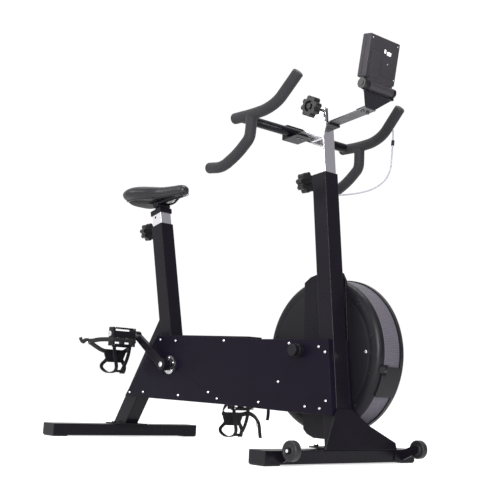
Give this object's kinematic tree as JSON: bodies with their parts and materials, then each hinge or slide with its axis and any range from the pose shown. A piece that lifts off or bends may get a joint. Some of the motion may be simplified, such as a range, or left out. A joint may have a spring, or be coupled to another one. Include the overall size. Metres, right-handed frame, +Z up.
{
  "type": "exercise bike",
  "caption": "Upright air-resistance exercise bike with a side fan drum, sliding saddle and handlebar posts, toe-cage pedals and a tilting console.",
  "frame": {"origin": "on the floor under the centre of the bike's bounding box", "axes": "+X towards the front (console and transport wheels), +Y to the rider's left (the fan drum's side), +Z up"},
  "size_m": [1.1516, 0.5784, 1.1331],
  "materials": {
    "black_paint": "satin black powder coat",
    "casing": "satin black sheet steel",
    "black_plastic": "matt black moulding",
    "knob_plastic": "semi-gloss black moulding",
    "console_plastic": "fine-textured dark grey ABS",
    "button_plastic": "grey moulding",
    "screen": "gloss display window",
    "black_vinyl": "grained black vinyl",
    "black_foam": "matt closed-cell foam",
    "black_rubber": "matt rubber",
    "belt_rubber": "ribbed rubber",
    "wheel_tyre": "hard black wheel",
    "grey_cable": "smooth grey jacket",
    "chrome": "bright chrome plate",
    "grey_steel": "zinc-grey strip steel",
    "bright_fastener": "bright zinc",
    "alloy": "plain alloy",
    "grey_mesh": "grey painted perforated sheet"
  },
  "bodies": {
    "frame": {"rear_foot_bar": "black_paint", "front_foot_bar": "black_paint", "foot_caps": "black_plastic", "foot_plates": "black_paint", "rear_leg": "black_paint", "seat_tube": "black_paint", "main_beam": "black_paint", "bottom_bracket_shell": "black_paint", "front_post": "black_paint", "front_skirt": "black_paint", "cover_near": "casing", "cover_far": "casing", "cover_strips": "casing", "cover_screws": "bright_fastener", "axle_boss": "black_plastic", "fan_bracket": "black_paint", "fan_shell_near": "black_plastic", "fan_shell_far": "black_plastic", "fan_grille": "grey_mesh", "fan_shield": "black_plastic", "drive_belt": "belt_rubber", "post_liners": "black_plastic", "wheel_brackets": "black_paint", "cable_grommet": "black_rubber", "sensor_cable": "grey_cable"},
    "crank": {"crank_axle": "bright_fastener", "crank_pulley": "alloy", "crank_arm_near": "black_paint", "crank_arm_far": "black_paint", "pedal_spindles": "bright_fastener"},
    "pedal_near": {"pedal_body_near": "black_plastic", "toe_cage_near": "black_plastic"},
    "pedal_far": {"pedal_body_far": "black_plastic", "toe_cage_far": "black_plastic"},
    "fan": {"fan_wheel": "alloy", "fan_axle": "bright_fastener"},
    "seat_mast": {"seat_post": "chrome", "seat_clamp": "black_paint"},
    "saddle": {"saddle_rails": "bright_fastener", "saddle_base": "black_plastic", "saddle_pad": "black_vinyl"},
    "seat_knob_body": {"seat_knob": "knob_plastic"},
    "bar_mast": {"bar_post": "chrome", "bar_head_pad": "black_plastic", "bar_head_lug": "chrome", "cable_plug": "black_plastic"},
    "bar_knob_body": {"bar_post_knob": "knob_plastic"},
    "handlebar": {"reach_arm": "grey_steel", "bar_clamp": "black_paint", "handlebar_core": "black_paint", "foam_grips": "black_foam", "console_bracket": "black_paint"},
    "reach_knob_body": {"reach_knob": "knob_plastic"},
    "console": {"console_case": "console_plastic", "console_screen": "screen"},
    "button_body": {"console_button": "button_plastic"},
    "console_knob_body": {"console_knob": "knob_plastic"},
    "shield_knob_body": {"shield_knob": "knob_plastic"},
    "wheel_near_body": {"wheel_near": "wheel_tyre"},
    "wheel_far_body": {"wheel_far": "wheel_tyre"}
  },
  "joints": [
    {"name": "crank_spin", "type": "hinge", "parent": "frame", "child": "crank", "pos_m": [-0.24266, 0, 0.2423], "axis": [0, 1, 0], "continuous": true},
    {"name": "fan_spin", "type": "hinge", "parent": "frame", "child": "fan", "pos_m": [0.33474, 0.09, 0.2859], "axis": [0, 1, 0], "continuous": true},
    {"name": "pedal_near_spin", "type": "hinge", "parent": "crank", "child": "pedal_near", "pos_m": [-0.39028, -0.133, 0.33251], "axis": [0, 1, 0], "continuous": true},
    {"name": "pedal_far_spin", "type": "hinge", "parent": "crank", "child": "pedal_far", "pos_m": [-0.09504, 0.133, 0.15209], "axis": [0, 1, 0], "continuous": true},
    {"name": "seat_height", "type": "slide", "parent": "frame", "child": "seat_mast", "axis": [-0.2384, 0, 0.9712], "range_m": [-0.025, 0.1]},
    {"name": "saddle_tilt", "type": "hinge", "parent": "seat_mast", "child": "saddle", "pos_m": [-0.40611, 0, 0.7805], "axis": [0, 1, 0], "range_deg": [-12, 12]},
    {"name": "seat_knob_turn", "type": "hinge", "parent": "frame", "child": "seat_knob_body", "pos_m": [-0.38979, 0, 0.6953], "axis": [1, 0, 0], "range_deg": [-180, 180]},
    {"name": "handlebar_height", "type": "slide", "parent": "frame", "child": "bar_mast", "axis": [-0.1177, 0, 0.993], "range_m": [-0.06, 0.1], "deforming": ["sensor_cable"]},
    {"name": "bar_post_knob_turn", "type": "hinge", "parent": "frame", "child": "bar_knob_body", "pos_m": [0.36806, 0, 0.7701], "axis": [1, 0, 0], "range_deg": [-180, 180]},
    {"name": "handlebar_reach", "type": "slide", "parent": "bar_mast", "child": "handlebar", "axis": [0.993, 0, 0.1177], "range_m": [0, 0.023]},
    {"name": "reach_knob_turn", "type": "hinge", "parent": "bar_mast", "child": "reach_knob_body", "pos_m": [0.37355, -0.05, 0.96168], "axis": [0, 1, 0], "range_deg": [-180, 180]},
    {"name": "console_tilt", "type": "hinge", "parent": "handlebar", "child": "console", "pos_m": [0.55574, 0, 0.9925], "axis": [0, 1, 0], "range_deg": [-25, 20]},
    {"name": "console_knob_turn", "type": "hinge", "parent": "handlebar", "child": "console_knob_body", "pos_m": [0.55574, 0, 0.9925], "axis": [0, 1, 0], "range_deg": [-180, 180]},
    {"name": "console_button_press", "type": "slide", "parent": "console", "child": "button_body", "axis": [0.9877, 0, -0.1564], "range_m": [0, 0.0015], "stiffness_N_per_m": 600},
    {"name": "shield_knob_turn", "type": "hinge", "parent": "frame", "child": "shield_knob_body", "pos_m": [0.55534, 0.055, 0.247], "axis": [0, 1, 0], "range_deg": [-180, 180]},
    {"name": "wheel_near_spin", "type": "hinge", "parent": "frame", "child": "wheel_near_body", "pos_m": [0.52774, -0.24, 0.0405], "axis": [0, 1, 0], "continuous": true},
    {"name": "wheel_far_spin", "type": "hinge", "parent": "frame", "child": "wheel_far_body", "pos_m": [0.52774, 0.24, 0.0405], "axis": [0, 1, 0], "continuous": true}
  ],
  "couplings": [
    {"joint": "fan_spin", "follows": "crank_spin", "ratio": 3.8182}
  ]
}
